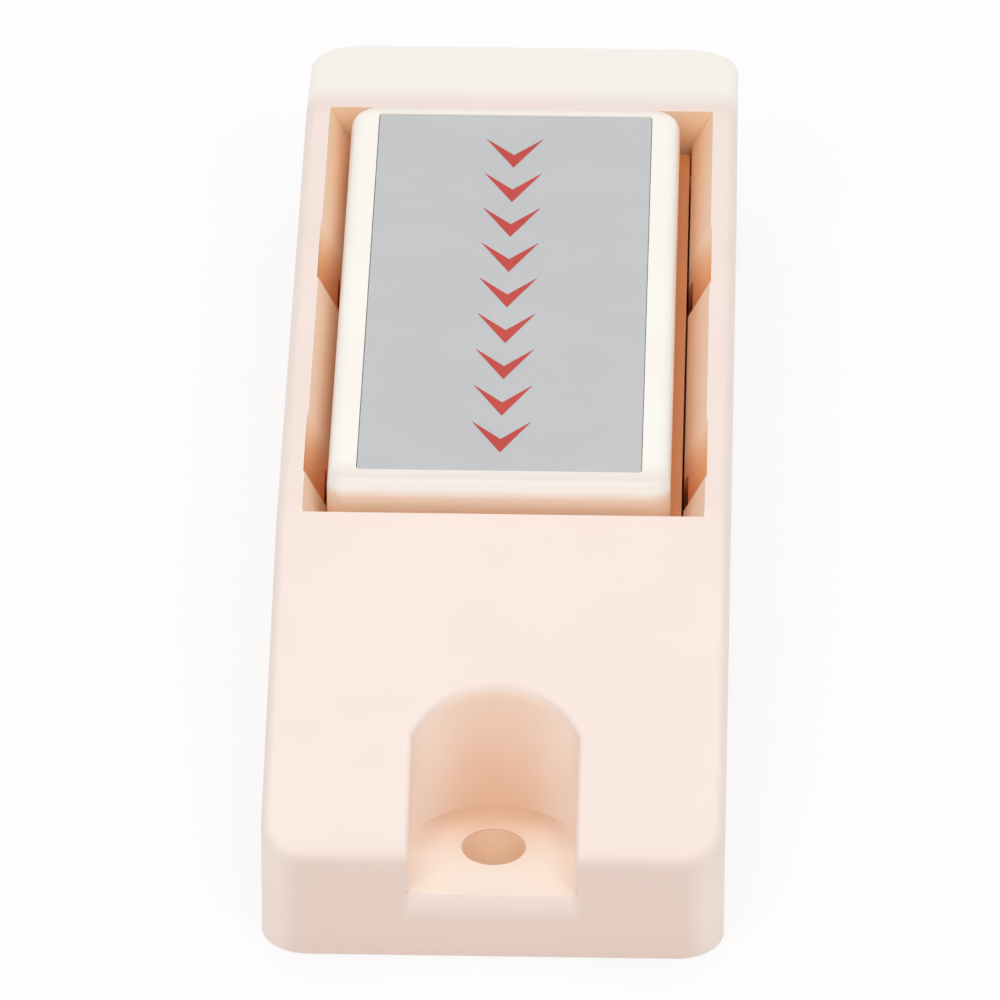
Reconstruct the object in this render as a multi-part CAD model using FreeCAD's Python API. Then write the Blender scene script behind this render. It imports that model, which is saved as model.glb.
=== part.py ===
import FreeCAD, Part
import math
import os

from FreeCAD import Vector

# Surface-mounted panic button: a long moulded housing with a wide hinged
# push button between two raised guards. Millimetres, Z up from the wall
# face, Y along the housing, the screw pocket at the -Y end.

# Housing, outside
width = 32.2
ramp_run = 32.2
well_length = 56.2
far_run = 14.4
front_height = 8.3
rim_height = 16.0
far_drop = 3.0
near_corner_radius = 3.3
far_corner_radius = 4.0
crease_radius = 12.0
outline_rounding = 0.8

# Housing, inside
side_wall = 1.8
top_wall = 2.0
well_wall = 1.8
rail_depth = 7.0

# Well with its bevelled guards and ramped notches
guard_width = 1.8
bevel_width = 1.55
bevel_depth = 3.0
notch_starts = (5.2, 31.7)
notch_length = 8.0
notch_drop = 3.0
notch_cutback = 0.1
slot_depth = 0.3
slot_length = 5.6

# Mounting screw pocket
pocket_half_width = 5.8
pocket_back_radius = 6.3
pocket_depth = 11.2
pocket_floor = 5.1
pocket_lean_deg = 35.2
pocket_wall = 1.6
pocket_rounding = 0.4
hole_distance = 6.0
hole_radius = 2.25
hole_boss_radius = 4.4

# Push button: a skirt that fills the throat and a raised pad that leaves a
# step along one side; drawn level and then tilted up to its rest position
cap_side_gap = 0.15
pad_step = 0.75
pad_step_drop = 0.4
cap_near_gap = 0.8
cap_far_gap = 0.6
cap_proud = 0.75
cap_roof = 2.0
cap_wall = 1.5
skirt_height = 6.85
cap_corner_radius = 1.5
cap_far_corner_radius = 2.2
skirt_corner_radius = 0.4
cap_rounding = 1.0
rest_tilt_deg = 1.0

# Label plate
label_side_margin = 2.1
label_near_margin = 2.2
label_far_margin = 1.7
label_recess = 0.5
label_thickness = 0.35
label_corner_radius = 0.3
label_gap = 0.05

# Pivot: stubs on the button's ears that snap into holes in the rails
pivot_from_far = 3.4
pivot_depth = 4.8
stub_radius = 1.0
stub_length = 1.5
stub_chamfer = 0.3
running_gap = 0.05
stub_end_gap = 0.15
ear_radius = 2.6
ear_thickness = 2.6

# Stop hooks under the well's near wall
hook_width = 5.0
hook_inset = 5.2
hook_reach = 0.8
hook_thickness = 1.2
stop_gap = 0.3

# Base plate
base_thickness = 1.8
base_gap = 0.15
boss_radius = 2.6
boss_inset = 3.1
near_boss_distance = 23.0
far_boss_distance = 7.0
pilot_depth = 8.0
keyhole_distance = 8.0
keyhole_head_radius = 4.2
keyhole_slot_radius = 1.9
keyhole_slot_run = 5.0
cable_width = 12.0
cable_length = 7.0
cable_from_pivot = 5.5

# Base screws
screw_core_radius = 1.1
screw_fit = 0.05
screw_length = 8.0
screw_head_radius = 2.1
screw_head_depth = 1.1
screw_inset = 0.2
drive_radius = 1.2
drive_width = 0.6
drive_depth = 0.7

# Return springs
spring_inset = 5.2
spring_from_well = 6.0
spring_radius = 2.4
spring_wire = 0.7
spring_turns = 4
wire_sides = 6
nipple_radius = 1.5
nipple_length = 1.4
spring_gap = 0.1

# Circuit board
board_from_well = 11.0
board_length = 32.0
board_side_gap = 2.5
board_thickness = 1.6
standoff_height = 1.6
standoff_radius = 2.2
board_screw_inset = 2.2
board_corner_radius = 1.0
board_screw_radius = 0.9
board_head_radius = 1.7
board_head_height = 1.3
board_screw_depth = 2.6

# Snap-action switch
switch_from_board = 3.3
switch_length = 12.8
switch_width = 5.8
switch_base_height = 1.6
switch_roof_gap = 3.25
switch_wall = 0.8
plunger_from_near = 7.8
plunger_radius = 0.9
plunger_flange_radius = 1.5
plunger_flange = 0.4
plunger_gap = 0.08
lever_from_near = 11.8
lever_height = 0.5
lever_width = 4.0
lever_thickness = 0.3
lever_reach = 12.0
lever_rise_deg = 7.1
barrel_radius = 0.42
horn_thickness = 0.5
horn_radius = 0.9
actuator_from_near = 0.8
actuator_width = 5.0
actuator_thickness = 1.4
actuator_gap = 0.3

# Switch contacts
contact_width = 1.2
contact_thickness = 0.3
leg_pitch = 5.08
leg_below_board = 1.2
leg_gap = 0.05
blade_from_near = 1.9
blade_height_share = 0.43
blade_reach = 9.0
blade_width = 2.4
blade_thickness = 0.2
blade_rise_deg = 2.5
contact_gap = 0.12
blade_drop = 0.8

# Terminal block
block_from_board_far = 4.3
block_depth = 7.6
block_roof_gap = 1.25
pole_pitch = 5.0
pole_count = 3
pole_half_width = 1.9
pole_back_wall = 1.6
pole_floor = 1.2
block_end_wall = 0.6
block_bevel_run = 2.2
block_bevel_drop = 2.6
cage_half_width = 1.8
cage_depth = 3.6
cage_headroom = 4.1
cage_wall = 0.6
cage_top_wall = 1.0
clamp_screw_radius = 1.1
clamp_head_radius = 1.8
clamp_head_height = 1.2
clamp_head_top_gap = 0.6
well_gap = 0.15
bar_width = 1.6
bar_thickness = 0.5

# Sizes that follow from the ones above
length = ramp_run + well_length + far_run
near_end = -length / 2
far_end = length / 2
well_near = near_end + ramp_run
well_far = well_near + well_length
half_width = width / 2
inner_half_width = half_width - side_wall
mouth_half_width = half_width - guard_width
throat_half_width = mouth_half_width - bevel_width
slot_half_width = throat_half_width + slot_depth
bevel_slope = bevel_depth / bevel_width
bevel_bottom = rim_height - bevel_depth
rail_bottom = rim_height - rail_depth
ramp_slope = (rim_height - front_height) / ramp_run
far_slope = far_drop / far_run
pocket_lean = math.tan(math.radians(pocket_lean_deg))
hole_y = near_end + hole_distance
pocket_back_y = near_end + pocket_depth
pocket_shoulder = pocket_back_radius - math.sqrt(pocket_back_radius**2 - pocket_half_width**2)
skirt_half_width = throat_half_width - cap_side_gap
pad_half_width = skirt_half_width - pad_step / 2
pad_bottom = bevel_bottom - pad_step_drop
cap_top = rim_height + cap_proud
cap_ceiling = cap_top - cap_roof
skirt_bottom = cap_top - skirt_height
cap_near = well_near + cap_near_gap
cap_far = well_far - cap_far_gap
pivot_y = well_far - pivot_from_far
pivot_height = rim_height - pivot_depth
hook_x = skirt_half_width - hook_inset
spring_x = skirt_half_width - spring_inset
spring_y = well_near + spring_from_well
boss_x = inner_half_width - boss_inset
pivot_hole_end = skirt_half_width + stub_length + stub_end_gap
rest_slope = math.tan(math.radians(rest_tilt_deg))
board_half_width = inner_half_width - board_side_gap
board_bottom = base_thickness + standoff_height
board_top = board_bottom + board_thickness
board_near = well_near + board_from_well
board_far = board_near + board_length
switch_near = board_near + switch_from_board
switch_far = switch_near + switch_length
case_bottom = board_top + switch_base_height
case_top = cap_ceiling - switch_roof_gap
plunger_y = switch_near + plunger_from_near
lever_y = switch_near + lever_from_near
lever_z = case_top + lever_height
blade_y = switch_near + blade_from_near
blade_z = case_bottom + (case_top - case_bottom) * blade_height_share
block_far = board_far - block_from_board_far
block_near = block_far - block_depth
block_top = cap_ceiling - block_roof_gap
cage_height = block_top - board_top - cage_headroom

# Reach of cutting shapes past what they cut, and the slack in comparing places
margin = 5.0
overcut = 1.0
slack = 0.01


def box(x0, x1, y0, y1, z0, z1):
    return Part.makeBox(x1 - x0, y1 - y0, z1 - z0, Vector(x0, y0, z0))


def upright(radius, x, y, z0, z1):
    return Part.makeCylinder(radius, z1 - z0, Vector(x, y, z0))


def across(radius, x0, x1, y, z):
    return Part.makeCylinder(radius, x1 - x0, Vector(x0, y, z), Vector(1, 0, 0))


def fuse_all(shapes):
    body = shapes[0]
    for shape in shapes[1:]:
        body = body.fuse(shape)
    return body.removeSplitter()


def arc(start, middle, end):
    return Part.Arc(start, middle, end).toShape()


def line(start, end):
    return Part.LineSegment(start, end).toShape()


def plan_face(x_half, y0, y1, near_radius, far_radius, z):
    """Rectangle in plan with rounded corners, one radius for each end."""
    corners = (
        (x_half, y0, near_radius, -90),
        (x_half, y1, far_radius, 0),
        (-x_half, y1, far_radius, 90),
        (-x_half, y0, near_radius, 180),
    )
    arcs = []
    for x, y, radius, first_angle in corners:
        centre = Vector(x - math.copysign(radius, x), y + radius if y == y0 else y - radius, z)
        points = []
        for step in (0, 45, 90):
            angle = math.radians(first_angle + step)
            points.append(centre + Vector(radius * math.cos(angle), radius * math.sin(angle), 0))
        arcs.append(points)
    edges = []
    for index, points in enumerate(arcs):
        edges.append(arc(*points))
        edges.append(line(points[2], arcs[(index + 1) % len(arcs)][0]))
    return Part.Face(Part.Wire(edges))


def plan_prism(x_half, y0, y1, near_radius, far_radius, z0, z1):
    return plan_face(x_half, y0, y1, near_radius, far_radius, z0).extrude(Vector(0, 0, z1 - z0))


def side_prism(points, x0, x1):
    """Prism along X from a closed outline of (y, z) points."""
    corners = [Vector(x0, y, z) for y, z in points]
    return Part.Face(Part.makePolygon(corners + corners[:1])).extrude(Vector(x1 - x0, 0, 0))


def crease(before, corner, after):
    """Three points of the arc that rounds a corner of the top line."""
    to_before = (before - corner).normalize()
    to_after = (after - corner).normalize()
    half_turn = (math.pi - to_before.getAngle(to_after)) / 2
    reach = crease_radius * math.tan(half_turn)
    inward = (to_before + to_after).normalize()
    depth = crease_radius / math.cos(half_turn) - crease_radius
    return corner + to_before * reach, corner + inward * depth, corner + to_after * reach


def profile_prism(lowering, bottom):
    """Ramp, level top and far slope as one prism, lowered by a wall."""
    x = -half_width - margin
    top = rim_height - lowering
    near_point = Vector(x, near_end - margin, top - ramp_slope * (ramp_run + margin))
    near_crease = Vector(x, well_near, top)
    far_crease = Vector(x, well_far, top)
    far_point = Vector(x, far_end + margin, top - far_slope * (far_run + margin))
    first = crease(near_point, near_crease, far_crease)
    second = crease(near_crease, far_crease, far_point)
    far_foot = Vector(x, far_end + margin, bottom)
    near_foot = Vector(x, near_end - margin, bottom)
    edges = [
        line(near_point, first[0]),
        arc(*first),
        line(first[2], second[0]),
        arc(*second),
        line(second[2], far_point),
        line(far_point, far_foot),
        line(far_foot, near_foot),
        line(near_foot, near_point),
    ]
    return Part.Face(Part.Wire(edges)).extrude(Vector(width + 2 * margin, 0, 0))


def top_outline_edges(solid):
    """Edges where the top meets the side, front and far faces."""
    wall = plan_prism(half_width, near_end, far_end, near_corner_radius, far_corner_radius, 0, rim_height)
    chosen = []
    for edge in solid.Edges:
        middle = edge.valueAt((edge.FirstParameter + edge.LastParameter) / 2)
        upright_edge = edge.BoundBox.ZMin < slack
        on_outline = wall.Shells[0].distToShape(Part.Vertex(middle))[0] < slack
        if on_outline and not upright_edge:
            chosen.append(edge)
    return chosen


def housing_outside():
    outline = plan_prism(
        half_width, near_end, far_end, near_corner_radius, far_corner_radius, 0, rim_height + margin
    )
    body = outline.common(profile_prism(0, 0))
    return body.makeFillet(outline_rounding, top_outline_edges(body))


def housing_cavity():
    """Space inside the housing, lower between the rails of the well."""
    plan = plan_prism(
        inner_half_width,
        near_end + side_wall,
        far_end - side_wall,
        near_corner_radius - side_wall,
        far_corner_radius - side_wall,
        -margin,
        rim_height,
    )
    inside = plan.common(profile_prism(top_wall, -margin))
    rails = box(-width, width, well_near - well_wall, well_far + well_wall, rail_bottom, rim_height)
    return inside.cut(rails)


def well_space():
    """Opening of the well: a straight throat under a bevelled mouth."""
    throat = box(
        -throat_half_width, throat_half_width, well_near, well_far, rail_bottom - overcut, rim_height
    )
    reach = mouth_half_width + overcut / bevel_slope
    outline = [
        Vector(-throat_half_width, well_near, bevel_bottom),
        Vector(throat_half_width, well_near, bevel_bottom),
        Vector(reach, well_near, rim_height + overcut),
        Vector(-reach, well_near, rim_height + overcut),
    ]
    mouth = Part.Face(Part.makePolygon(outline + outline[:1])).extrude(Vector(0, well_length, 0))
    return throat.fuse(mouth)


def notch(side, start):
    """Ramped notch in a guard's bevel, deepest at its near edge."""
    outer = mouth_half_width + notch_cutback
    inner = throat_half_width - slot_depth
    inner_z = bevel_bottom - slot_depth * bevel_slope
    outer_z = bevel_bottom + (outer - throat_half_width) * bevel_slope
    top = rim_height + overcut
    sections = []
    for y, drop in ((start, notch_drop), (start + notch_length, 0)):
        corners = [
            Vector(side * inner, y, inner_z - drop),
            Vector(side * outer, y, outer_z - drop),
            Vector(side * outer, y, top),
            Vector(side * inner, y, top),
        ]
        sections.append(Part.makePolygon(corners + corners[:1]))
    ramp = Part.makeLoft(sections, True, True)
    x0, x1 = sorted((side * inner, side * slot_half_width))
    slot = box(x0, x1, start, start + slot_length, bevel_bottom - notch_drop, bevel_bottom)
    return ramp.fuse(slot)


def pocket_space():
    """Open-fronted pocket whose round back leans away with height."""
    front = near_end - 2 * margin
    shoulder_y = pocket_back_y - pocket_shoulder
    back = Vector(0, pocket_back_y, pocket_floor)
    left = Vector(-pocket_half_width, shoulder_y, pocket_floor)
    right = Vector(pocket_half_width, shoulder_y, pocket_floor)
    front_left = Vector(-pocket_half_width, front, pocket_floor)
    front_right = Vector(pocket_half_width, front, pocket_floor)
    edges = [
        line(front_right, right),
        arc(right, back, left),
        line(left, front_left),
        line(front_left, front_right),
    ]
    rise = rim_height - pocket_floor
    return Part.Face(Part.Wire(edges)).extrude(Vector(0, rise * pocket_lean, rise))


def pocket_tower():
    """Block that walls the pocket in, with cut corners behind."""
    floor = pocket_floor - pocket_wall
    half = pocket_half_width + pocket_wall
    back_y = pocket_back_y + pocket_wall
    corner = half / 2
    outline = [
        Vector(half, near_end - margin, floor),
        Vector(half, back_y - corner, floor),
        Vector(half - corner, back_y, floor),
        Vector(corner - half, back_y, floor),
        Vector(-half, back_y - corner, floor),
        Vector(-half, near_end - margin, floor),
    ]
    rise = rim_height - floor
    return Part.Face(Part.makePolygon(outline + outline[:1])).extrude(Vector(0, rise * pocket_lean, rise))


def boss_places():
    places = []
    for y in (near_end + near_boss_distance, far_end - far_boss_distance):
        for x in (-boss_x, boss_x):
            places.append((x, y))
    return places


def pivot_hole(side):
    """Blind hole in a rail for a stub of the button."""
    x0, x1 = sorted((side * (throat_half_width - overcut), side * pivot_hole_end))
    return across(stub_radius + running_gap, x0, x1, pivot_y, pivot_height)


def pocket_rim_edges(solid):
    """Edges of the pocket on the ramp, around its arch."""
    chosen = []
    for edge in solid.Edges:
        middle = edge.valueAt((edge.FirstParameter + edge.LastParameter) / 2)
        ramp_z = front_height + ramp_slope * (middle.y - near_end)
        near_arch = abs(middle.x) < pocket_half_width + slack and middle.y < well_near - margin
        on_ramp = abs(middle.z - ramp_z) < slack and middle.y > near_end + outline_rounding
        if near_arch and on_ramp:
            chosen.append(edge)
    return chosen


def housing():
    outside = housing_outside()
    shell = outside.cut(housing_cavity())
    boss = upright(hole_boss_radius, 0, hole_y, 0, pocket_floor - pocket_wall / 2)
    added = [pocket_tower().common(outside), boss]
    for x, y in boss_places():
        added.append(upright(boss_radius, x, y, base_thickness, rim_height).common(outside))
    for shape in added:
        shell = shell.fuse(shape)
    cuts = [well_space(), pocket_space()]
    cuts.append(upright(hole_radius, 0, hole_y, -overcut, rim_height))
    for side in (-1, 1):
        for start in notch_starts:
            cuts.append(notch(side, well_near + start))
    for x, y in boss_places():
        pilot = screw_core_radius + screw_fit
        cuts.append(upright(pilot, x, y, base_thickness - overcut, base_thickness + pilot_depth))
    for side in (-1, 1):
        cuts.append(pivot_hole(side))
    for shape in cuts:
        shell = shell.cut(shape)
    shell = shell.removeSplitter()
    return shell.makeFillet(pocket_rounding, pocket_rim_edges(shell))


def tilt_to_rest(shape):
    shape.rotate(Vector(0, pivot_y, pivot_height), Vector(1, 0, 0), -rest_tilt_deg)
    return shape


def cap_underside(y):
    """Height of the button's inner roof at rest."""
    return cap_ceiling + (pivot_y - y) * rest_slope


def cap_plan(x_half, near_radius, far_radius, z1):
    return plan_prism(x_half, cap_near, cap_far, near_radius, far_radius, skirt_bottom, z1)


def cap_shell():
    skirt = cap_plan(skirt_half_width, skirt_corner_radius, skirt_corner_radius, pad_bottom)
    pad = cap_plan(pad_half_width, cap_corner_radius, cap_far_corner_radius, cap_top)
    top_edges = [edge for edge in pad.Edges if edge.BoundBox.ZMin > cap_top - slack]
    pad = pad.makeFillet(cap_rounding, top_edges)
    pad.translate(Vector(-pad_step / 2, 0, 0))
    inner = skirt_half_width - pad_step - cap_wall
    inside = box(
        -inner, inner, cap_near + cap_wall, cap_far - cap_wall, skirt_bottom - overcut, cap_ceiling
    )
    return skirt.fuse(pad).cut(inside)


def pivot_ear(side):
    """Round ear that lengthens the skirt around its pivot stub."""
    inner = side * (skirt_half_width - ear_thickness)
    x0, x1 = sorted((inner, side * skirt_half_width))
    ear = across(ear_radius, x0, x1, pivot_y, pivot_height)
    above = box(x0, x1, pivot_y - ear_radius, pivot_y + ear_radius, pad_bottom, cap_top)
    stub_end = side * (skirt_half_width + stub_length)
    x2, x3 = sorted((inner, stub_end))
    stub = across(stub_radius, x2, x3, pivot_y, pivot_height)
    rim = [edge for edge in stub.Edges if abs(edge.CenterOfMass.x - stub_end) < slack]
    stub = stub.makeChamfer(stub_chamfer, rim)
    return ear.cut(above).fuse(stub)


def stop_hook(side):
    """Hook that catches under the well's near wall when the button is up."""
    x0 = side * hook_x - hook_width / 2
    x1 = x0 + hook_width
    arm = pivot_y - cap_near
    lip_top = rail_bottom - stop_gap - arm * rest_slope
    lip_bottom = lip_top - hook_thickness
    lip_near = well_near - hook_reach
    stem_near = cap_near + cap_rounding / 2
    stem = box(x0, x1, stem_near, stem_near + cap_wall, lip_bottom, cap_ceiling)
    lip = side_prism(
        [
            (stem_near + cap_wall, lip_top),
            (lip_near, lip_top),
            (lip_near, lip_top - hook_thickness / 2),
            (stem_near + cap_wall / 2, lip_bottom),
            (stem_near + cap_wall, lip_bottom),
        ],
        x0,
        x1,
    )
    return stem.fuse(lip)


def actuator_rib():
    """Rib under the roof that presses the switch lever."""
    y = switch_near + actuator_from_near
    lever_top = lever_z + (lever_y - y) * math.tan(math.radians(lever_rise_deg)) + lever_thickness / 2
    bottom = lever_top + actuator_gap - (pivot_y - y) * rest_slope
    return box(
        -actuator_width / 2,
        actuator_width / 2,
        y - actuator_thickness / 2,
        y + actuator_thickness / 2,
        bottom,
        cap_ceiling,
    )


def button_cap():
    parts = [cap_shell(), actuator_rib()]
    for side in (-1, 1):
        parts.append(pivot_ear(side))
        parts.append(stop_hook(side))
        bottom = cap_ceiling - nipple_length
        parts.append(upright(nipple_radius, side * spring_x, spring_y, bottom, cap_ceiling))
    cap = fuse_all(parts)
    recess = plan_prism(
        pad_half_width - label_side_margin + label_gap,
        cap_near + label_near_margin - label_gap,
        cap_far - label_far_margin + label_gap,
        label_corner_radius,
        label_corner_radius,
        cap_top - label_recess,
        cap_top + overcut,
    )
    recess.translate(Vector(-pad_step / 2, 0, 0))
    return tilt_to_rest(cap.cut(recess).removeSplitter())


def label_plate():
    plate = plan_prism(
        pad_half_width - label_side_margin,
        cap_near + label_near_margin,
        cap_far - label_far_margin,
        label_corner_radius,
        label_corner_radius,
        cap_top - label_recess,
        cap_top - label_recess + label_thickness,
    )
    plate.translate(Vector(-pad_step / 2, 0, 0))
    return tilt_to_rest(plate)


def screw_tool(x, y):
    """Countersunk hole for a base screw, seen from below."""
    shank = upright(screw_core_radius + 4 * screw_fit, x, y, -overcut, base_thickness + overcut)
    flare = (screw_head_radius - screw_core_radius) / screw_head_depth
    foot = screw_head_radius + screw_fit + screw_inset * flare
    head = Part.makeCone(
        foot, screw_core_radius + screw_fit, screw_inset + screw_head_depth, Vector(x, y, 0)
    )
    return [shank, head]


def standoff_places():
    places = []
    x = board_half_width - board_screw_inset
    for y in (board_near + board_screw_inset, board_far - board_screw_inset):
        for side in (-1, 1):
            places.append((side * x, y))
    return places


def board_screw_places():
    """Opposite corners of the board."""
    places = standoff_places()
    return places[0], places[-1]


def keyhole():
    """Keyhole for a wall screw's head, its narrow run towards the far end."""
    end_y = far_end - keyhole_distance
    y = end_y - keyhole_slot_run
    top = base_thickness + overcut
    head = upright(keyhole_head_radius, 0, y, -overcut, top)
    run = box(-keyhole_slot_radius, keyhole_slot_radius, y, end_y, -overcut, top)
    end = upright(keyhole_slot_radius, 0, end_y, -overcut, top)
    return [head, run, end]


def cable_entry():
    centre = pivot_y - cable_from_pivot
    return plan_prism(
        cable_width / 2,
        centre - cable_length / 2,
        centre + cable_length / 2,
        cap_corner_radius,
        cap_corner_radius,
        -overcut,
        base_thickness + overcut,
    )


def base_plate():
    plate = plan_prism(
        inner_half_width - base_gap,
        near_end + side_wall + base_gap,
        far_end - side_wall - base_gap,
        near_corner_radius - side_wall,
        far_corner_radius - side_wall,
        0,
        base_thickness,
    )
    parts = [plate]
    for side in (-1, 1):
        top = base_thickness + nipple_length
        parts.append(upright(nipple_radius, side * spring_x, spring_y, 0, top))
    for x, y in standoff_places():
        parts.append(upright(standoff_radius, x, y, 0, board_bottom))
    plate = fuse_all(parts)
    boss_hole = upright(hole_boss_radius + base_gap, 0, hole_y, -overcut, base_thickness + overcut)
    cuts = [boss_hole, cable_entry()]
    cuts.extend(keyhole())
    for x, y in boss_places():
        cuts.extend(screw_tool(x, y))
    for x, y in board_screw_places():
        cuts.append(upright(board_screw_radius, x, y, board_bottom - board_screw_depth, board_bottom))
    for shape in cuts:
        plate = plate.cut(shape)
    return plate.removeSplitter()


def base_screw(x, y):
    head = Part.makeCone(screw_head_radius, screw_core_radius, screw_head_depth, Vector(x, y, screw_inset))
    screw = head.fuse(upright(screw_core_radius, x, y, screw_inset, screw_inset + screw_length))
    for across_x, across_y in ((drive_radius, drive_width / 2), (drive_width / 2, drive_radius)):
        cross = box(
            x - across_x, x + across_x, y - across_y, y + across_y, 0, screw_inset + drive_depth
        )
        screw = screw.cut(cross)
    return screw.removeSplitter()


def base_screws():
    return Part.makeCompound([base_screw(x, y) for x, y in boss_places()])


def wire_section():
    """Many-sided section of the spring wire, square to the coil's start."""
    points = []
    for index in range(wire_sides):
        angle = 2 * math.pi * (index + 0.5) / wire_sides
        reach = spring_wire / 2
        points.append(Vector(spring_radius + reach * math.cos(angle), 0, reach * math.sin(angle)))
    return Part.makePolygon(points + points[:1])


def return_spring(side):
    height = cap_underside(spring_y) - spring_gap - base_thickness - spring_wire
    helix = Part.makeHelix(height / spring_turns, height, spring_radius)
    coil = Part.Wire(helix.Edges).makePipeShell([wire_section()], True, True)
    coil.translate(Vector(side * spring_x, spring_y, base_thickness + spring_wire / 2))
    return coil


def leg_places():
    first = switch_near + (switch_length - 2 * leg_pitch) / 2
    return [first + index * leg_pitch for index in range(3)]


def leg_box(y, top):
    bottom = board_bottom - leg_below_board
    half = contact_thickness / 2
    return box(-contact_width / 2, contact_width / 2, y - half, y + half, bottom, top)


def pole_places():
    return [(index - (pole_count - 1) / 2) * pole_pitch for index in range(pole_count)]


def pin_leg_y():
    return block_near + pole_back_wall / 2


def leg_slot(x, y):
    """Slot through the board for a flat leg."""
    half_x = contact_width / 2 + leg_gap
    half_y = contact_thickness / 2 + leg_gap
    return box(x - half_x, x + half_x, y - half_y, y + half_y, 0, board_top + overcut)


def circuit_board():
    board = box(-board_half_width, board_half_width, board_near, board_far, board_bottom, board_top)
    corners = [edge for edge in board.Edges if edge.BoundBox.ZLength > board_thickness / 2]
    board = board.makeFillet(board_corner_radius, corners)
    for x, y in board_screw_places():
        board = board.cut(upright(board_screw_radius + 2 * screw_fit, x, y, 0, board_top + overcut))
    for y in leg_places():
        board = board.cut(leg_slot(0, y))
    for x in pole_places():
        board = board.cut(leg_slot(x, pin_leg_y()))
    return board


def board_screw(x, y):
    top = board_top + board_head_height
    cross = board_head_radius / 2
    shank = upright(board_screw_radius, x, y, board_bottom - board_screw_depth, board_top)
    screw = shank.fuse(upright(board_head_radius, x, y, board_top, top))
    for across_x, across_y in ((cross, drive_width / 2), (drive_width / 2, cross)):
        slot = box(x - across_x, x + across_x, y - across_y, y + across_y, top - drive_depth, top + overcut)
        screw = screw.cut(slot)
    return screw.removeSplitter()


def board_screws():
    return Part.makeCompound([board_screw(x, y) for x, y in board_screw_places()])


def switch_base():
    half = switch_width / 2
    inner = half - switch_wall
    base = box(-half, half, switch_near, switch_far, board_top, case_bottom)
    lip = box(
        -inner,
        inner,
        switch_near + switch_wall,
        switch_far - switch_wall,
        case_bottom,
        case_bottom + switch_wall / 2,
    )
    base = fuse_all([base, lip])
    for y in leg_places():
        base = base.cut(leg_box(y, case_top))
    return base


def switch_case():
    """Cover of the switch, with the plunger's hole and the lever's horns."""
    half = switch_width / 2
    inner = half - switch_wall
    case = box(-half, half, switch_near, switch_far, case_bottom, case_top)
    space = box(
        -inner,
        inner,
        switch_near + switch_wall,
        switch_far - switch_wall,
        case_bottom - overcut,
        case_top - switch_wall,
    )
    case = case.cut(space)
    for side in (-1, 1):
        x0, x1 = sorted((side * (half - horn_thickness), side * half))
        horn = box(x0, x1, lever_y - horn_radius, lever_y + horn_radius, case_top, lever_z)
        case = case.fuse(horn).fuse(across(horn_radius, x0, x1, lever_y, lever_z))
    bore = barrel_radius + running_gap
    case = case.cut(across(bore, -half - overcut, half + overcut, lever_y, lever_z))
    hole = upright(plunger_radius + running_gap, 0, plunger_y, case_bottom, case_top + overcut)
    return case.cut(hole).removeSplitter()


def blade_height_at(y):
    """Mid-thickness of the contact blade at rest."""
    return blade_z + (y - blade_y) * math.tan(math.radians(blade_rise_deg))


def plunger_top():
    lever_bottom = lever_z - lever_thickness / 2
    rise = (lever_y - plunger_y) * math.tan(math.radians(lever_rise_deg))
    return lever_bottom + rise - plunger_radius * math.tan(math.radians(lever_rise_deg)) - plunger_gap


def switch_plunger():
    blade_top = blade_height_at(plunger_y + plunger_radius) + blade_thickness / 2
    stem = upright(plunger_radius, 0, plunger_y, blade_top + plunger_gap, plunger_top())
    flange_top = case_top - switch_wall - plunger_gap
    flange = upright(plunger_flange_radius, 0, plunger_y, flange_top - plunger_flange, flange_top)
    rim = [edge for edge in stem.Edges if edge.BoundBox.ZMin > flange_top]
    return stem.makeChamfer(plunger_radius / 4, rim).fuse(flange).removeSplitter()


def tilted_strip(y0, y1, x_half, thickness, rise_deg, y, z):
    """Flat strip along Y, turned about a cross axis at (y, z)."""
    strip = box(-x_half, x_half, y0, y1, z - thickness / 2, z + thickness / 2)
    strip.rotate(Vector(0, y, z), Vector(1, 0, 0), rise_deg)
    return strip


def switch_lever():
    tip = lever_y - lever_reach
    strip = tilted_strip(tip, lever_y, lever_width / 2, lever_thickness, -lever_rise_deg, lever_y, lever_z)
    reach = switch_width / 2
    barrel = across(barrel_radius, -reach, reach, lever_y, lever_z)
    return strip.fuse(barrel).removeSplitter()


def contact_blade():
    tip = blade_y + blade_reach
    return tilted_strip(blade_y, tip, blade_width / 2, blade_thickness, blade_rise_deg, blade_y, blade_z)


def terminal_common():
    """Leg that rises to a foot just under the blade's fixed end."""
    y = leg_places()[0]
    top = blade_z - blade_thickness / 2 - contact_gap / 2
    foot = box(
        -contact_width / 2,
        contact_width / 2,
        y - contact_thickness / 2,
        blade_y + contact_thickness,
        top - contact_thickness,
        top,
    )
    return leg_box(y, top).fuse(foot).removeSplitter()


def terminal_normally_open():
    """Leg with a contact arm under the blade's free end."""
    y = leg_places()[1]
    tip = blade_y + blade_reach
    top = blade_height_at(tip) - blade_thickness / 2 - blade_drop - contact_gap
    half = contact_width / 2
    arm = box(-half, half, y - contact_thickness / 2, tip, top - contact_thickness, top)
    return leg_box(y, top).fuse(arm).removeSplitter()


def terminal_normally_closed():
    """Leg with a contact arm over the blade's free end."""
    y = leg_places()[2]
    tip = blade_y + blade_reach
    bottom = blade_height_at(tip) + blade_thickness / 2 + contact_gap
    half = contact_width / 2
    top = bottom + contact_thickness
    arm = box(-half, half, tip - contact_width, y + contact_thickness / 2, bottom, top)
    return leg_box(y, top).fuse(arm).removeSplitter()


def cage_near():
    return block_near + pole_back_wall + well_gap


def screw_axis_y():
    return cage_near() + cage_depth / 2


def cage_bottom():
    return board_top + pole_floor + well_gap


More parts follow.
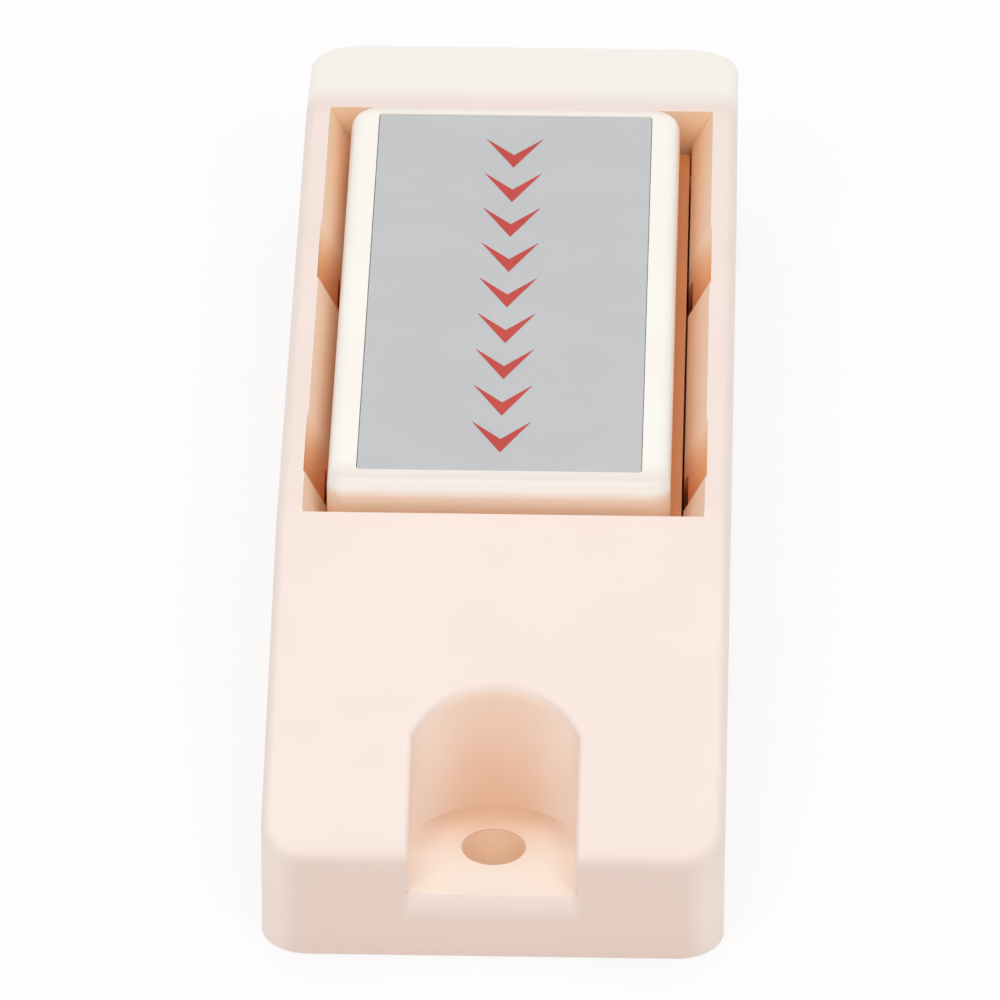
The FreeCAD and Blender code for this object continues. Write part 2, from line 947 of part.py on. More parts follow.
def terminal_block():
    """Three-pole body with wire mouths towards the cable entry."""
    x_half = (pole_count - 1) * pole_pitch / 2 + pole_half_width + block_end_wall
    body = box(-x_half, x_half, block_near, block_far, board_top, block_top)
    bevel = side_prism(
        [
            (block_far - block_bevel_run, block_top + overcut),
            (block_far - block_bevel_run, block_top),
            (block_far, block_top - block_bevel_drop),
            (block_far + overcut, block_top - block_bevel_drop),
            (block_far + overcut, block_top + overcut),
        ],
        -x_half - overcut,
        x_half + overcut,
    )
    body = body.cut(bevel)
    chamber_top = cage_bottom() + cage_height + well_gap
    for x in pole_places():
        chamber = box(
            x - pole_half_width,
            x + pole_half_width,
            block_near + pole_back_wall,
            block_far + overcut,
            board_top + pole_floor,
            chamber_top,
        )
        well = upright(
            clamp_head_radius + well_gap, x, screw_axis_y(), chamber_top - overcut, block_top + overcut
        )
        leg = block_pin_leg(x)
        bar_slot = block_pin_bar(x)
        for shape in (chamber, well, leg, bar_slot):
            body = body.cut(shape)
    return body.removeSplitter()


def bar_top():
    return cage_bottom() + cage_height - cage_top_wall - clamp_screw_tip_gap()


def clamp_screw_tip_gap():
    return 2 * well_gap


def block_pin_leg(x):
    half = contact_thickness / 2
    y = pin_leg_y()
    return box(
        x - contact_width / 2,
        x + contact_width / 2,
        y - half,
        y + half,
        board_bottom - leg_below_board,
        bar_top(),
    )


def block_pin_bar(x):
    far = cage_near() + cage_depth + well_gap
    near = pin_leg_y() - contact_thickness / 2
    half = bar_width / 2
    return box(x - half, x + half, near, far, bar_top() - bar_thickness, bar_top())


def block_pins():
    return Part.makeCompound(
        [block_pin_leg(x).fuse(block_pin_bar(x)).removeSplitter() for x in pole_places()]
    )


def wire_clamp(x):
    """Square cage that the clamp screw pulls up against the bar."""
    bottom = cage_bottom()
    top = bottom + cage_height
    near = cage_near()
    outer = box(x - cage_half_width, x + cage_half_width, near, near + cage_depth, bottom, top)
    inner_half = cage_half_width - cage_wall
    inner = box(
        x - inner_half,
        x + inner_half,
        near - overcut,
        near + cage_depth + overcut,
        bottom + cage_wall,
        top - cage_top_wall,
    )
    thread = upright(
        clamp_screw_radius + screw_fit, x, screw_axis_y(), bottom + cage_height / 2, top + overcut
    )
    return outer.cut(inner).cut(thread)


def wire_clamps():
    return Part.makeCompound([wire_clamp(x) for x in pole_places()])


def clamp_screw(x):
    y = screw_axis_y()
    tip = bar_top() + well_gap / 3
    head_top = block_top - clamp_head_top_gap
    shank = upright(clamp_screw_radius, x, y, tip, head_top)
    head = upright(clamp_head_radius, x, y, head_top - clamp_head_height, head_top)
    slot = box(
        x - clamp_head_radius,
        x + clamp_head_radius,
        y - drive_width / 2,
        y + drive_width / 2,
        head_top - drive_depth,
        head_top + overcut,
    )
    return shank.fuse(head).cut(slot).removeSplitter()


def clamp_screws():
    return Part.makeCompound([clamp_screw(x) for x in pole_places()])


def build():
    nodes = {
        "housing": housing(),
        "base_plate": base_plate(),
        "base_screws": base_screws(),
        "button_cap": button_cap(),
        "label_plate": label_plate(),
        "return_spring_left": return_spring(-1),
        "return_spring_right": return_spring(1),
        "circuit_board": circuit_board(),
        "board_screws": board_screws(),
        "switch_base": switch_base(),
        "switch_case": switch_case(),
        "switch_plunger": switch_plunger(),
        "switch_lever": switch_lever(),
        "contact_blade": contact_blade(),
        "terminal_common": terminal_common(),
        "terminal_normally_open": terminal_normally_open(),
        "terminal_normally_closed": terminal_normally_closed(),
        "terminal_block": terminal_block(),
        "clamp_screws": clamp_screws(),
        "wire_clamps": wire_clamps(),
        "block_pins": block_pins(),
    }
    os.makedirs("parts", exist_ok=True)
    for name, shape in nodes.items():
        shape.exportStep(os.path.join("parts", name + ".step"))
        print(name, len(shape.Solids), "solids", round(shape.Volume, 2), "mm3", shape.isValid())
    return nodes


build()
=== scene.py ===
import math

import bmesh
import bpy
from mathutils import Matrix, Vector

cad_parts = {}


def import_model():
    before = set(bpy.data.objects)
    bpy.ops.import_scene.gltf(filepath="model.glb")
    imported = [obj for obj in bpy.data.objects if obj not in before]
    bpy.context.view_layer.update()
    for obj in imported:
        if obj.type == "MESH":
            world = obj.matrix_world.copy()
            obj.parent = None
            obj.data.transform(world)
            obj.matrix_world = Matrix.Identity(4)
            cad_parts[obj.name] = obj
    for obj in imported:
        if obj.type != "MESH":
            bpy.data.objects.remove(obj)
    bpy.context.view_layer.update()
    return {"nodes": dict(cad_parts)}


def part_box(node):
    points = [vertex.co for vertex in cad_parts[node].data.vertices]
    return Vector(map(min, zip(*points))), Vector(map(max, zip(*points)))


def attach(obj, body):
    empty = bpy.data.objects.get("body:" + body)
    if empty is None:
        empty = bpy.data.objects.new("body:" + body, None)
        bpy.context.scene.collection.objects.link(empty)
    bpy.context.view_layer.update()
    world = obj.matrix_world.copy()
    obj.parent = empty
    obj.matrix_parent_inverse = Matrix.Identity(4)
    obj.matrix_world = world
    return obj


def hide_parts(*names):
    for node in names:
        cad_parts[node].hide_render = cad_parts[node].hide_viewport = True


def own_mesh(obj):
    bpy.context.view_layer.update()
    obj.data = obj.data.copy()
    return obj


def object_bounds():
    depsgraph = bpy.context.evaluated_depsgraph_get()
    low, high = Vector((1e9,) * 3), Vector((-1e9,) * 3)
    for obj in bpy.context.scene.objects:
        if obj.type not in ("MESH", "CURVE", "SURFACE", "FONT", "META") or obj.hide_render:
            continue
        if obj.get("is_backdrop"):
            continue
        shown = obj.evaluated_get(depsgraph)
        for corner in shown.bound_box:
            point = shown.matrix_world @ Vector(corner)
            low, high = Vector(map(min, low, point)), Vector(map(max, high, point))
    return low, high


# Panic button: looks, floor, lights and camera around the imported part.
# Metres, in the part's own frame: Z away from the wall, the screw pocket at -Y.

MM = 0.001

# Camera, as seen in the photograph
camera_azimuth = math.radians(1.433)
camera_elevation = math.radians(32.462)
camera_distance = 927.8 * MM
camera_target = Vector((-0.574 * MM, -4.9 * MM, 8.0 * MM))
camera_lens = 462.3
camera_nearest = 0.01
camera_farthest = 10.0

# Housing: outline of the ramp, the far slope and the well with its guards
rim_height = 16.0 * MM
front_height = 8.3 * MM
near_end = -51.4 * MM
far_end = 51.4 * MM
far_drop = 3.0 * MM
well_near = -19.2 * MM
well_far = 37.0 * MM
mouth_half_width = 14.3 * MM
bevel_width = 1.55 * MM
bevel_depth = 3.0 * MM
notch_cutback = 0.1 * MM

# Housing: screw pocket, and the axis of its round back
pocket_half_width = 6.3 * MM
pocket_floor = 5.1 * MM
pocket_axis = -46.5 * MM
pocket_foot = -40.2 * MM
pocket_back = -34.6 * MM
pocket_back_rise = 6.0 * MM

# Button, which stands tilted about its pivot at rest
cap_top = 16.75 * MM
cap_near = -18.4 * MM
cap_far = 36.4 * MM
cap_rounding = 1.0 * MM
cap_edge_drop = 0.15 * MM
pivot_y = 33.6 * MM
rest_slope = math.tan(math.radians(1.0))

# Depth that the painted orange shade of the well goes by: an offset that grows towards the
# far end, a share of the true depth, and one of the depth below the bevels
well_offset = 1.0 * MM
far_offset = 2.2 * MM
bevel_share = 0.3
notch_share = 1.7

# Reach of the painted light and shade in the pocket and at both ends, and of a sharp border
edge = 0.04 * MM
rim_blend = 0.9 * MM
floor_middle = 2.4 * MM
floor_front = -49.5 * MM
floor_front_share = 0.3
back_share = 0.6
back_middle = 1.26 * MM
corner_start = 3.6 * MM
corner_middle = 2.1 * MM
corner_side_share = 0.15
near_blend = 1.1 * MM
far_blend = 5.0 * MM
slope_depth = 1.25 * MM

# Surfaces: clouds of colour, patches of gloss, and the height of the grain
fine_detail = 4
grain_detail = 2
plastic_ior = 1.5
plastic_cloud = 14 * MM
plastic_patch = 3 * MM
plastic_gloss = (-0.04, 0.05)
plastic_bump = 0.25
plastic_relief = 0.012 * MM
film_cloud = 9 * MM
film_patch = 1.5 * MM
film_gloss = (-0.05, 0.05)
film_grain = 0.12 * MM
metal_cloud = 1.2 * MM
metal_lines = 0.25 * MM
metal_line_roughness = 0.6
metal_gloss = (-0.08, 0.1)
skin_bump = 0.2
skin_relief = 0.004 * MM

# Print on the label
label_thickness = 0.35 * MM
mark_count = 9
mark_pitch = 5.08 * MM
mark_width = 4.2 * MM
mark_length = 4.2 * MM
mark_notch = 2.4 * MM
mark_far_gap = 3.35 * MM
ink_thickness = 0.03 * MM

# Return springs: coils of round wire
spring_wire = 0.7 * MM
spring_turns = 4
turn_steps = 40
wire_smoothness = 3

# Floor and sky
floor_half = 2.0
floor_gap = 0.05 * MM
floor_colour = (0.96, 0.96, 0.96)
floor_roughness = 0.9
floor_white = 0.75
sky_strength = 0.5

# Lamps: name, place, width and power in watts
lamps = (
    ("lamp_above", (0.0, 0.3, 0.95), 1.1, 3.8),
    ("lamp_left", (-0.5, -0.8, 0.9), 0.6, 3.1),
    ("lamp_right", (0.5, -0.8, 0.9), 0.6, 3.1),
)


# Node helpers

def new_material(name):
    material = bpy.data.materials.new(name)
    material.use_nodes = True
    tree = material.node_tree
    tree.nodes.clear()
    output = tree.nodes.new("ShaderNodeOutputMaterial")
    shader = tree.nodes.new("ShaderNodeBsdfPrincipled")
    tree.links.new(shader.outputs["BSDF"], output.inputs["Surface"])
    return material, tree, shader


def position(tree):
    coordinates = tree.nodes.new("ShaderNodeTexCoord")
    return coordinates.outputs["Object"]


def maths(tree, operation, *values):
    node = tree.nodes.new("ShaderNodeMath")
    node.operation = operation
    for socket, value in zip(node.inputs, values):
        if isinstance(value, (int, float)):
            socket.default_value = value
        else:
            tree.links.new(value, socket)
    return node.outputs["Value"]


def product(tree, values):
    result = values[0]
    for value in values[1:]:
        result = maths(tree, "MULTIPLY", result, value)
    return result


def axes(tree):
    """Distance from the middle line, place along it, and height."""
    split = tree.nodes.new("ShaderNodeSeparateXYZ")
    tree.links.new(position(tree), split.inputs["Vector"])
    across = maths(tree, "ABSOLUTE", split.outputs["X"])
    return across, split.outputs["Y"], split.outputs["Z"]


def noise(tree, size, detail=3.0, roughness=0.55, stretch=(1, 1, 1)):
    """Noise whose features are about size metres across, or longer where stretch is under 1."""
    mapping = tree.nodes.new("ShaderNodeMapping")
    mapping.inputs["Scale"].default_value = [factor / size for factor in stretch]
    texture = tree.nodes.new("ShaderNodeTexNoise")
    texture.inputs["Scale"].default_value = 1.0
    texture.inputs["Detail"].default_value = detail
    texture.inputs["Roughness"].default_value = roughness
    tree.links.new(position(tree), mapping.inputs["Vector"])
    tree.links.new(mapping.outputs["Vector"], texture.inputs["Vector"])
    return texture.outputs["Fac"]


def spread(tree, value, low, high, from_low=0.3, from_high=0.7):
    """Maps the middle of a noise, or another range, smoothly to low up to high."""
    node = tree.nodes.new("ShaderNodeMapRange")
    node.interpolation_type = "SMOOTHSTEP"
    node.inputs["From Min"].default_value = from_low
    node.inputs["From Max"].default_value = from_high
    node.inputs["To Min"].default_value = low
    node.inputs["To Max"].default_value = high
    tree.links.new(value, node.inputs["Value"])
    return node.outputs["Result"]


def mix_colour(tree, factor, first, second):
    node = tree.nodes.new("ShaderNodeMix")
    node.data_type = "RGBA"
    tree.links.new(factor, node.inputs["Factor"])
    for socket, colour in ((node.inputs["A"], first), (node.inputs["B"], second)):
        if isinstance(colour, tuple):
            socket.default_value = colour + (1,)
        else:
            tree.links.new(colour, socket)
    return node.outputs["Result"]


def clouds(tree, size, first, second, detail=3.0):
    """One colour with soft clouds of another."""
    return mix_colour(tree, spread(tree, noise(tree, size, detail), 0, 1), first, second)


def vary_gloss(tree, shader, texture, rough, change):
    glossier, duller = change
    roughness = spread(tree, texture, rough + glossier, rough + duller)
    tree.links.new(roughness, shader.inputs["Roughness"])


def bump(tree, shader, height, strength, distance):
    node = tree.nodes.new("ShaderNodeBump")
    node.inputs["Strength"].default_value = strength
    node.inputs["Distance"].default_value = distance
    tree.links.new(height, node.inputs["Height"])
    tree.links.new(node.outputs["Normal"], shader.inputs["Normal"])


def linear(red, green, blue):
    """Colour of an sRGB triple from 0 to 255, as the shader takes it."""
    result = []
    for value in (red, green, blue):
        part = value / 255
        result.append(part / 12.92 if part <= 0.04045 else ((part + 0.055) / 1.055) ** 2.4)
    return tuple(result)


# Places of painted light and shade on the housing and the button: depths in metres, and masks
# from 0 to 1

def well_depth(tree):
    """Depth below the guards, counted more below the plane of their bevels; the painted shade of
    the well follows it.
    """
    across, along, height = axes(tree)
    depth = maths(tree, "SUBTRACT", rim_height, height)
    inwards = maths(tree, "SUBTRACT", mouth_half_width, across)
    bevel = maths(tree, "MULTIPLY", inwards, bevel_depth / bevel_width)
    below_bevel = maths(tree, "MAXIMUM", maths(tree, "SUBTRACT", depth, bevel), 0)
    rim = spread(tree, along, well_offset, far_offset, well_far / 2, well_far)
    shallow = maths(tree, "MULTIPLY_ADD", depth, bevel_share, rim)
    total = maths(tree, "MULTIPLY_ADD", below_bevel, notch_share, shallow)
    outer = mouth_half_width + notch_cutback
    return product(tree, [
        total,
        spread(tree, depth, 0, 1, edge / 2, 2 * edge),
        spread(tree, across, 0, 1, outer + 2 * edge, outer + edge),
        spread(tree, along, 0, 1, well_near - edge, well_near + edge),
        spread(tree, along, 0, 1, well_far + 2 * edge, well_far + edge),
    ])


def pocket_inside(tree):
    """The screw pocket below the ramp."""
    across, along, height = axes(tree)
    slope = (rim_height - front_height) / (well_near - near_end)
    ramp = maths(tree, "MULTIPLY_ADD", along, slope, front_height - near_end * slope)
    depth = maths(tree, "SUBTRACT", ramp, height)
    return product(tree, [
        spread(tree, depth, 0, 1, 2 * edge, rim_blend),
        spread(tree, across, 0, 1, pocket_half_width + edge, pocket_half_width - edge),
        spread(tree, along, 0, 1, pocket_back + edge, pocket_back - edge),
        spread(tree, along, 0, 1, near_end + 3 * edge, near_end + 10 * edge),
        spread(tree, height, 0, 1, edge, 2 * edge),
    ])


def from_pocket_middle(tree):
    """Distance from the axis of the pocket's round back, or from the middle line before it."""
    across, along = axes(tree)[:2]
    behind = maths(tree, "MAXIMUM", maths(tree, "SUBTRACT", along, pocket_axis), 0)
    squares = maths(tree, "MULTIPLY_ADD", behind, behind, product(tree, [across, across]))
    return maths(tree, "SQRT", squares)


def above_floor(tree, height, at_floor, above):
    """One value on the pocket's floor and another over it."""
    return spread(tree, height, at_floor, above, pocket_floor + edge / 4, pocket_floor + edge / 2)


def pocket_wall_warm_light(tree):
    """Painted warm light on the walls of the screw pocket, and less of it on its floor away from
    them.
    """
    along, height = axes(tree)[1:]
    floor_edge = product(tree, [
        spread(tree, from_pocket_middle(tree), 0, 1, floor_middle, pocket_half_width),
        spread(tree, along, floor_front_share, 1, near_end, pocket_axis),
    ])
    wall = above_floor(tree, height, 0, 1)
    return product(tree, [pocket_inside(tree), maths(tree, "MAXIMUM", wall, floor_edge)])


def pocket_back_shade(tree):
    """Painted shade on the middle of the pocket's back wall, most of all at its foot, and on the
    floor before it.
    """
    across, along, height = axes(tree)
    top = pocket_floor + pocket_back_rise
    return product(tree, [
        pocket_inside(tree),
        spread(tree, along, 0, 1, floor_front, pocket_foot),
        spread(tree, across, 1, 0, back_middle, pocket_half_width),
        spread(tree, height, 1, back_share, pocket_floor, top),
    ])


def pocket_corner_shade(tree):
    """Painted shade on the back of the pocket's floor, along the wall."""
    across, along, height = axes(tree)
    return product(tree, [
        pocket_inside(tree),
        spread(tree, from_pocket_middle(tree), 0, 1, corner_start, pocket_half_width),
        spread(tree, along, 0, 1, pocket_axis, pocket_axis + corner_start / 2),
        spread(tree, across, 1, corner_side_share, corner_middle, pocket_half_width),
        above_floor(tree, height, 1, 0),
    ])


# Painted glow on the wall of the screw hole, below the pocket's floor
def screw_hole_glow(tree):
    height = axes(tree)[2]
    below = spread(tree, height, 1, 0, pocket_floor - 3 * edge, pocket_floor - edge)
    return product(tree, [pocket_inside(tree), below])


def near_face_shade(tree):
    """Painted shade on the face of the near end, less at its corners and just under the pocket.
    """
    across, along, height = axes(tree)
    beside = spread(tree, across, 0, 1, pocket_half_width - near_blend, pocket_half_width)
    below = spread(tree, height, 1, 0, pocket_floor / 2, pocket_floor)
    return product(tree, [
        spread(tree, height, 1, 0, front_height - near_blend, front_height + near_blend / 2),
        maths(tree, "MAXIMUM", beside, below),
        spread(tree, across, 1, 0, mouth_half_width - near_blend, mouth_half_width + near_blend),
        spread(tree, along, 1, 0, near_end + near_blend, near_end + 3 * near_blend),
    ])


def far_slope_light(tree):
    """Painted light on the slope on top of the far end."""
    along, height = axes(tree)[1:]
    fall = far_drop / (far_end - well_far)
    slope = maths(tree, "MULTIPLY_ADD", along, -fall, rim_height + well_far * fall)
    depth = maths(tree, "SUBTRACT", slope, height)
    return product(tree, [
        spread(tree, along, 0, 1, well_far, well_far + far_blend),
        spread(tree, depth, 1, 0, slope_depth / 4, slope_depth),
    ])


def button_depth(tree):
    """Depth in metres below the rounded edge of the button's top, which the painted shade on its
    sides follows.
    """
    along, height = axes(tree)[1:]
    edge_height = cap_top - cap_edge_drop + pivot_y * rest_slope
    lean = maths(tree, "MULTIPLY_ADD", along, -rest_slope, edge_height)
    return maths(tree, "SUBTRACT", lean, height)


def cap_end_shade(tree):
    """Painted shade on the rim around the label at the near and far ends of the button."""
    along = axes(tree)[1]
    near = spread(tree, along, 1, 0, cap_near + cap_rounding, cap_near + 4 * cap_rounding)
    far = spread(tree, along, 0, 1, cap_far - 2 * cap_rounding, cap_far - cap_rounding / 2)
    return maths(tree, "MAXIMUM", near, far)


# Kinds of surface

def shade_by_depth(tree, depth, shade_stops):
    """Painted shade for each depth, from a list of (depth, colour) that starts at 0."""
    deepest = shade_stops[-1][0]
    ramp = tree.nodes.new("ShaderNodeValToRGB")
    elements = ramp.color_ramp.elements
    while len(elements) < len(shade_stops):
        elements.new(0.5)
    for element, (level, colour) in zip(elements, shade_stops):
        element.position = level / deepest
        element.color = colour + (1,)
    tree.links.new(maths(tree, "DIVIDE", depth, deepest), ramp.inputs["Fac"])
    return ramp.outputs["Color"]


def moulded_plastic(name, pale, deep, rough, grain, painted_light_and_shade=(), depth_of=None, shade_stops=()):
    """Moulded plastic with a fine grain, with painted light and shade in places, and painted
    shade that deepens in its hollows.
    """
    material, tree, shader = new_material(name)
    colour = clouds(tree, plastic_cloud, pale, deep)
    for where, painted_tone in painted_light_and_shade:
        colour = mix_colour(tree, where(tree), colour, painted_tone)
    if depth_of:
        depth = depth_of(tree)
        hollow_shade = spread(tree, depth, 0, 1, 0, shade_stops[1][0])
        colour = mix_colour(tree, hollow_shade, colour, shade_by_depth(tree, depth, shade_stops))
    tree.links.new(colour, shader.inputs["Base Color"])
    vary_gloss(tree, shader, noise(tree, plastic_patch, fine_detail), rough, plastic_gloss)
    shader.inputs["IOR"].default_value = plastic_ior
    bump(tree, shader, noise(tree, grain, grain_detail), plastic_bump, plastic_relief)
    return material


def printed_film(name, first, second, rough):
    material, tree, shader = new_material(name)
    tree.links.new(clouds(tree, film_cloud, first, second), shader.inputs["Base Color"])
    vary_gloss(tree, shader, noise(tree, film_patch, fine_detail), rough, film_gloss)
    bump(tree, shader, noise(tree, film_grain, grain_detail), skin_bump, skin_relief)
    return material


def metal(name, first, second, rough, stretch=(1, 1, 1)):
    """Metal of linear colours, with fine marks drawn out into lines where stretch is under 1."""
    material, tree, shader = new_material(name)
    shader.inputs["Metallic"].default_value = 1.0
    colour = clouds(tree, metal_cloud, first, second, fine_detail)
    tree.links.new(colour, shader.inputs["Base Color"])
    lines = noise(tree, metal_lines, roughness=metal_line_roughness, stretch=stretch)
    vary_gloss(tree, shader, lines, rough, metal_gloss)
    bump(tree, shader, lines, skin_bump, skin_relief)
    return material


# Materials

def housing_plastic():
    """Warm white, with rosier painted shade on the near face, rosier painted light on the
    pocket's walls, and painted orange shade deep in the well.
    """
    return moulded_plastic(
        "housing_plastic",
        linear(247, 230, 221),
        linear(245, 227, 218),
        rough=0.42,
        grain=0.35 * MM,
        painted_light_and_shade=(
            # painted shade on the near face
            (near_face_shade, linear(233, 210, 198)),
            # painted light on the far slope
            (far_slope_light, linear(255, 249, 241)),
            # painted shade inside the screw pocket
            (pocket_inside, linear(245, 228, 214)),
            # painted warm light on the pocket's walls
            (pocket_wall_warm_light, linear(255, 234, 219)),
            # painted shade on the pocket's back wall
            (pocket_back_shade, linear(226, 180, 150)),
            # painted shade in the pocket's back corner
            (pocket_corner_shade, linear(218, 174, 144)),
            # painted glow in the screw hole
            (screw_hole_glow, linear(255, 224, 196)),
        ),
        depth_of=well_depth,
        # Painted orange shade in the well, by depth
        shade_stops=(
            (0, linear(247, 230, 221)),
            (1.0 * MM, linear(255, 237, 217)),
            (2.0 * MM, linear(255, 230, 201)),
            (3.5 * MM, linear(255, 210, 163)),
            (5.5 * MM, linear(255, 191, 128)),
            (8.0 * MM, linear(255, 170, 90)),
        ),
    )


def button_plastic():
    """White, with painted orange shade on the sides below the rounded edge."""
    return moulded_plastic(
        "button_plastic",
        linear(255, 252, 244),
        linear(254, 249, 240),
        rough=0.34,
        grain=0.4 * MM,
        # painted shade on the rim at the button's ends
        painted_light_and_shade=((cap_end_shade, linear(243, 232, 224)),),
        depth_of=button_depth,
        # Painted orange shade on the button's sides, by depth below its edge
        shade_stops=(
            (0, linear(248, 240, 232)),
            (0.35 * MM, linear(247, 237, 228)),
            (0.6 * MM, linear(250, 232, 218)),
            (0.9 * MM, linear(255, 223, 201)),
            (1.9 * MM, linear(255, 217, 184)),
            (3.8 * MM, linear(210, 141, 85)),
            (5.0 * MM, linear(255, 150, 82)),
        ),
    )


def plain_plastic(name, pale, deep, rough):
    return moulded_plastic(name, pale, deep, rough, grain=0.3 * MM)


def make_materials():
    """Material of each node, and of the ink on the label."""
    base = plain_plastic("base_plastic", linear(244, 226, 213), linear(238, 219, 205), rough=0.5)
    black = plain_plastic("switch_plastic", linear(38, 38, 40), linear(30, 30, 32), rough=0.45)
    red = plain_plastic("plunger_plastic", linear(178, 40, 30), linear(168, 34, 26), rough=0.35)
    green = plain_plastic("block_plastic", linear(46, 128, 76), linear(40, 118, 70), rough=0.42)
    label = printed_film("label_film", linear(198, 200, 202), linear(194, 196, 198), rough=0.5)
    ink = printed_film("red_ink", linear(204, 66, 55), linear(196, 57, 47), rough=0.45)
    board = printed_film("solder_resist", linear(30, 92, 52), linear(24, 80, 46), rough=0.35)
    steel = metal("lever_steel", (0.62, 0.62, 0.63), (0.55, 0.55, 0.56), 0.3, stretch=(0.2, 1, 1))
    wire = metal("spring_wire", (0.5, 0.5, 0.51), (0.42, 0.42, 0.43), rough=0.35)
    zinc = metal("zinc_plate", (0.68, 0.69, 0.72), (0.6, 0.6, 0.62), rough=0.33)
    nickel = metal("nickel_plate", (0.7, 0.68, 0.63), (0.62, 0.6, 0.56), rough=0.28)
    brass = metal("brass", (0.8, 0.6, 0.28), (0.7, 0.5, 0.22), rough=0.3)
    return {
        "housing": housing_plastic(),
        "base_plate": base,
        "button_cap": button_plastic(),
        "label_plate": label,
        "return_spring_left": wire,
        "return_spring_right": wire,
        "base_screws": zinc,
        "board_screws": zinc,
        "clamp_screws": zinc,
        "circuit_board": board,
        "switch_base": black,
        "switch_case": black,
        "switch_plunger": red,
        "switch_lever": steel,
        "contact_blade": brass,
        "terminal_common": brass,
        "terminal_normally_open": brass,
        "terminal_normally_closed": brass,
        "block_pins": brass,
        "terminal_block": green,
        "wire_clamps": nickel,
        "ink": ink,
    }


def dress(nodes, materials):
    for name, node in nodes.items():
        node.data.materials.clear()
        node.data.materials.append(materials[name])


# Return springs

def coil_line(low, high):
    """Curve of round wire that climbs a box in even turns."""
    curve = bpy.data.curves.new("coil_line", "CURVE")
    curve.dimensions = "3D"
    curve.bevel_depth = spring_wire / 2
    curve.bevel_resolution = wire_smoothness
    curve.use_fill_caps = True
    middle = (low + high) / 2
    radius = (high.x - low.x - spring_wire) / 2
    foot = low.z + spring_wire / 2
    rise = high.z - low.z - spring_wire
    steps = spring_turns * turn_steps
    line = curve.splines.new("POLY")
    line.points.add(steps)
    for index, point in enumerate(line.points):
        share = index / steps
        angle = 2 * math.pi * spring_turns * share
        x = middle.x + radius * math.cos(angle)
        y = middle.y + radius * math.sin(angle)
        point.co = (x, y, foot + rise * share, 1)
    return bpy.data.objects.new("coil_line", curve)


def return_spring(node, material):
    """Coil on its seat in the base plate."""
    low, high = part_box(node)
    line = coil_line(low, high)
    mesh = bpy.data.meshes.new_from_object(line)
    bpy.data.curves.remove(line.data)
    mesh.name = node + "_coil"
    mesh.materials.clear()
    mesh.materials.append(material)
    for face in mesh.polygons:
        face.use_smooth = True
    coil = bpy.data.objects.new(node + "_coil", mesh)
    bpy.context.collection.objects.link(coil)
    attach(coil, "case")
    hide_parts(node)
    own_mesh(coil)


# Print on the label

def label_plane():
    """Middle of the label's far edge on its top face, the way to its near end, and up."""
    low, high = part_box("label_plate")
    tilt = math.atan2(high.z - low.z - label_thickness, high.y - low.y)
    top = low.z + label_thickness * math.cos(tilt)
    far_edge = Vector(((low.x + high.x) / 2, high.y, top))
    to_near = Vector((0, -math.cos(tilt), math.sin(tilt)))
    normal = Vector((0, math.sin(tilt), math.cos(tilt)))
    return far_edge, to_near, normal


def add_arrowhead(form, head, to_near, normal):
    side = Vector((1, 0, 0))
    corners = (
        head + to_near * mark_notch,
        head - side * mark_width / 2,
        head + to_near * mark_length,
        head + side * mark_width / 2,
    )
    top = [form.verts.new(corner + normal * ink_thickness) for corner in corners]
    foot = [form.verts.new(corner) for corner in corners]
    form.faces.new(top)
    form.faces.new(reversed(foot))
    for first in range(len(corners)):
        second = (first + 1) % len(corners)
        form.faces.new((top[first], foot[first], foot[second], top[second]))


def red_marks(material):
    """Column of arrowheads that point to the end where the button gives."""
    far_edge, to_near, normal = label_plane()
    form = bmesh.new()
    for index in range(mark_count):
        head = far_edge + to_near * (mark_far_gap + index * mark_pitch)
        add_arrowhead(form, head, to_near, normal)
    bmesh.ops.recalc_face_normals(form, faces=form.faces)
    mesh = bpy.data.meshes.new("label_marks")
    form.to_mesh(mesh)
    form.free()
    mesh.materials.append(material)
    marks = bpy.data.objects.new("label_marks", mesh)
    bpy.context.collection.objects.link(marks)
    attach(marks, "button")


# Floor, sky, lamps and camera

def whiten(tree, shader, output):
    """Reflections see plain white, and the camera sees white with a faint shadow."""
    path = tree.nodes.new("ShaderNodeLightPath")
    seen = maths(tree, "MULTIPLY", path.outputs["Is Camera Ray"], floor_white)
    mirrored = maths(
        tree, "MAXIMUM", path.outputs["Is Glossy Ray"], path.outputs["Is Transmission Ray"]
    )
    glow = tree.nodes.new("ShaderNodeEmission")
    glow.inputs["Color"].default_value = (1, 1, 1, 1)
    glow.inputs["Strength"].default_value = 1.0
    mix = tree.nodes.new("ShaderNodeMixShader")
    tree.links.new(maths(tree, "MAXIMUM", seen, mirrored), mix.inputs["Fac"])
    tree.links.new(shader.outputs["BSDF"], mix.inputs[1])
    tree.links.new(glow.outputs["Emission"], mix.inputs[2])
    tree.links.new(mix.outputs["Shader"], output.inputs["Surface"])


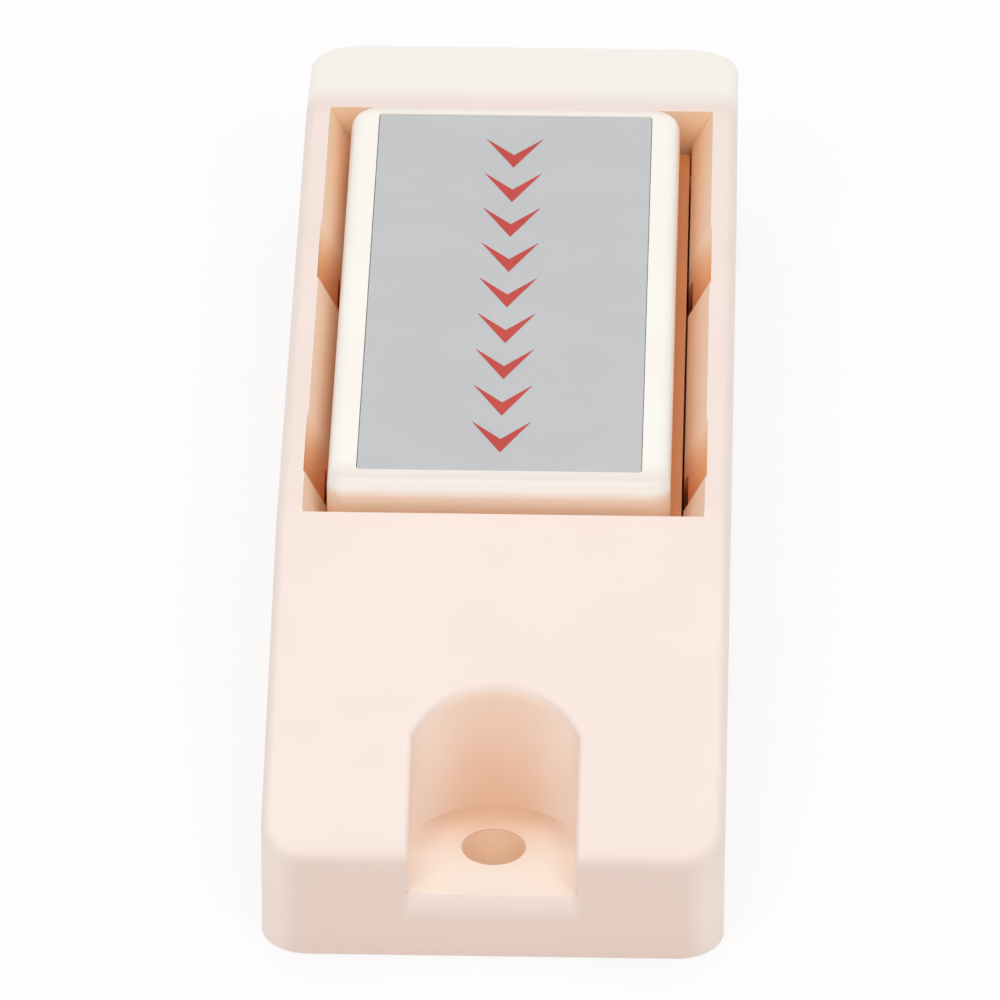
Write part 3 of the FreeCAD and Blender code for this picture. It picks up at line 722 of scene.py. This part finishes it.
def floor():
    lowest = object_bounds()[0].z
    bpy.ops.mesh.primitive_plane_add(size=2 * floor_half, location=(0, 0, lowest - floor_gap))
    plane = bpy.context.object
    plane.name = "floor"
    material, tree, shader = new_material("floor_paper")
    shader.inputs["Base Color"].default_value = floor_colour + (1,)
    shader.inputs["Roughness"].default_value = floor_roughness
    output = [node for node in tree.nodes if node.type == "OUTPUT_MATERIAL"][0]
    whiten(tree, shader, output)
    plane.data.materials.append(material)
    plane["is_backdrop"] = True


def white_background(tree, strength):
    node = tree.nodes.new("ShaderNodeBackground")
    node.inputs["Color"].default_value = (1, 1, 1, 1)
    node.inputs["Strength"].default_value = strength
    return node.outputs["Background"]


def sky():
    """Soft light from all around, which the camera sees as plain white."""
    world = bpy.data.worlds.new("studio")
    world.use_nodes = True
    tree = world.node_tree
    tree.nodes.clear()
    output = tree.nodes.new("ShaderNodeOutputWorld")
    path = tree.nodes.new("ShaderNodeLightPath")
    mix = tree.nodes.new("ShaderNodeMixShader")
    tree.links.new(path.outputs["Is Camera Ray"], mix.inputs["Fac"])
    tree.links.new(white_background(tree, sky_strength), mix.inputs[1])
    tree.links.new(white_background(tree, 1.0), mix.inputs[2])
    tree.links.new(mix.outputs["Shader"], output.inputs["Surface"])
    bpy.context.scene.world = world


def softbox(name, place, width, power):
    """Square lamp that faces the origin."""
    light = bpy.data.lights.new(name, "AREA")
    light.shape = "SQUARE"
    light.size = width
    light.energy = power
    lamp = bpy.data.objects.new(name, light)
    lamp.location = place
    lamp.rotation_mode = "QUATERNION"
    lamp.rotation_quaternion = Vector(place).to_track_quat("Z", "Y")
    bpy.context.collection.objects.link(lamp)


def camera():
    data = bpy.data.cameras.new("camera")
    data.lens = camera_lens
    data.clip_start = camera_nearest
    data.clip_end = camera_farthest
    back = Vector((
        math.sin(camera_azimuth) * math.cos(camera_elevation),
        -math.cos(camera_azimuth) * math.cos(camera_elevation),
        math.sin(camera_elevation),
    ))
    eye = bpy.data.objects.new("camera", data)
    eye.location = camera_target + back * camera_distance
    eye.rotation_mode = "QUATERNION"
    eye.rotation_quaternion = (-back).to_track_quat("-Z", "Y")
    bpy.context.collection.objects.link(eye)
    bpy.context.scene.camera = eye


def main():
    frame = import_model()
    camera()
    materials = make_materials()
    dress(frame["nodes"], materials)
    for side in ("left", "right"):
        node = "return_spring_" + side
        return_spring(node, materials[node])
    red_marks(materials["ink"])
    floor()
    sky()
    for lamp in lamps:
        softbox(*lamp)
    bpy.context.scene.view_settings.view_transform = "Standard"


main()
